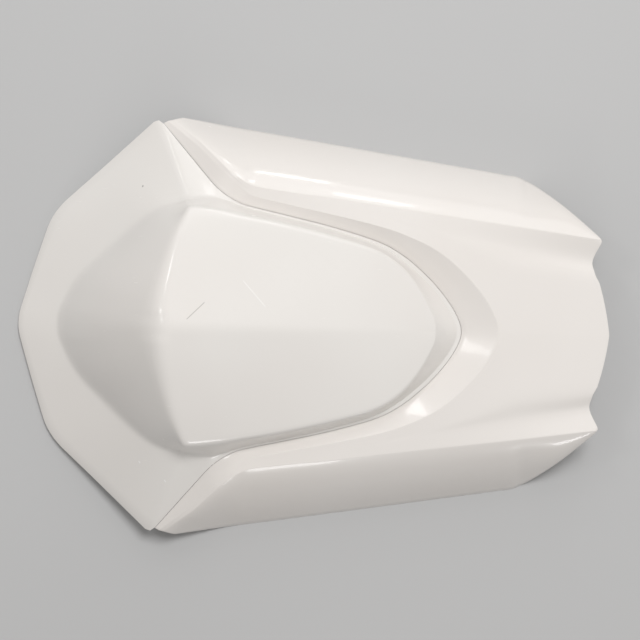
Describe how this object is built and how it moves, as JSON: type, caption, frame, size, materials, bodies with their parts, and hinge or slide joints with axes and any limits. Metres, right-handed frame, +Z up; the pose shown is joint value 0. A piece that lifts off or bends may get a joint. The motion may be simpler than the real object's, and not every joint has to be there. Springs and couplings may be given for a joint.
{
  "type": "motorcycle pillion seat cowl",
  "caption": "White moulded cowl that covers a motorcycle's pillion seat: a humped centre cover with a pointed apron, set in a horseshoe surround with a notched tail.",
  "frame": {"origin": "centre of the footprint, at the height of the lower edges that the cowl lies on", "axes": "+X from the nose of the apron towards the tail, +Y to the cowl's left, +Z up out of the hump"},
  "size_m": [0.375, 0.2654, 0.084],
  "materials": {
    "shell_white": "gloss white moulded plastic",
    "cover_white": "gloss white moulded plastic, lightly scratched",
    "zinc_steel": "zinc plated steel",
    "black_steel": "black coated pressed steel",
    "bright_steel": "plated steel rod",
    "black_rubber": "moulded black rubber"
  },
  "bodies": {
    "root": {"outer_shell": "shell_white", "centre_cover": "cover_white", "cover_screws": "zinc_steel", "strap_screws": "zinc_steel", "latch_strap": "black_steel", "striker_loop": "bright_steel", "rubber_buffers": "black_rubber"}
  },
  "joints": []
}
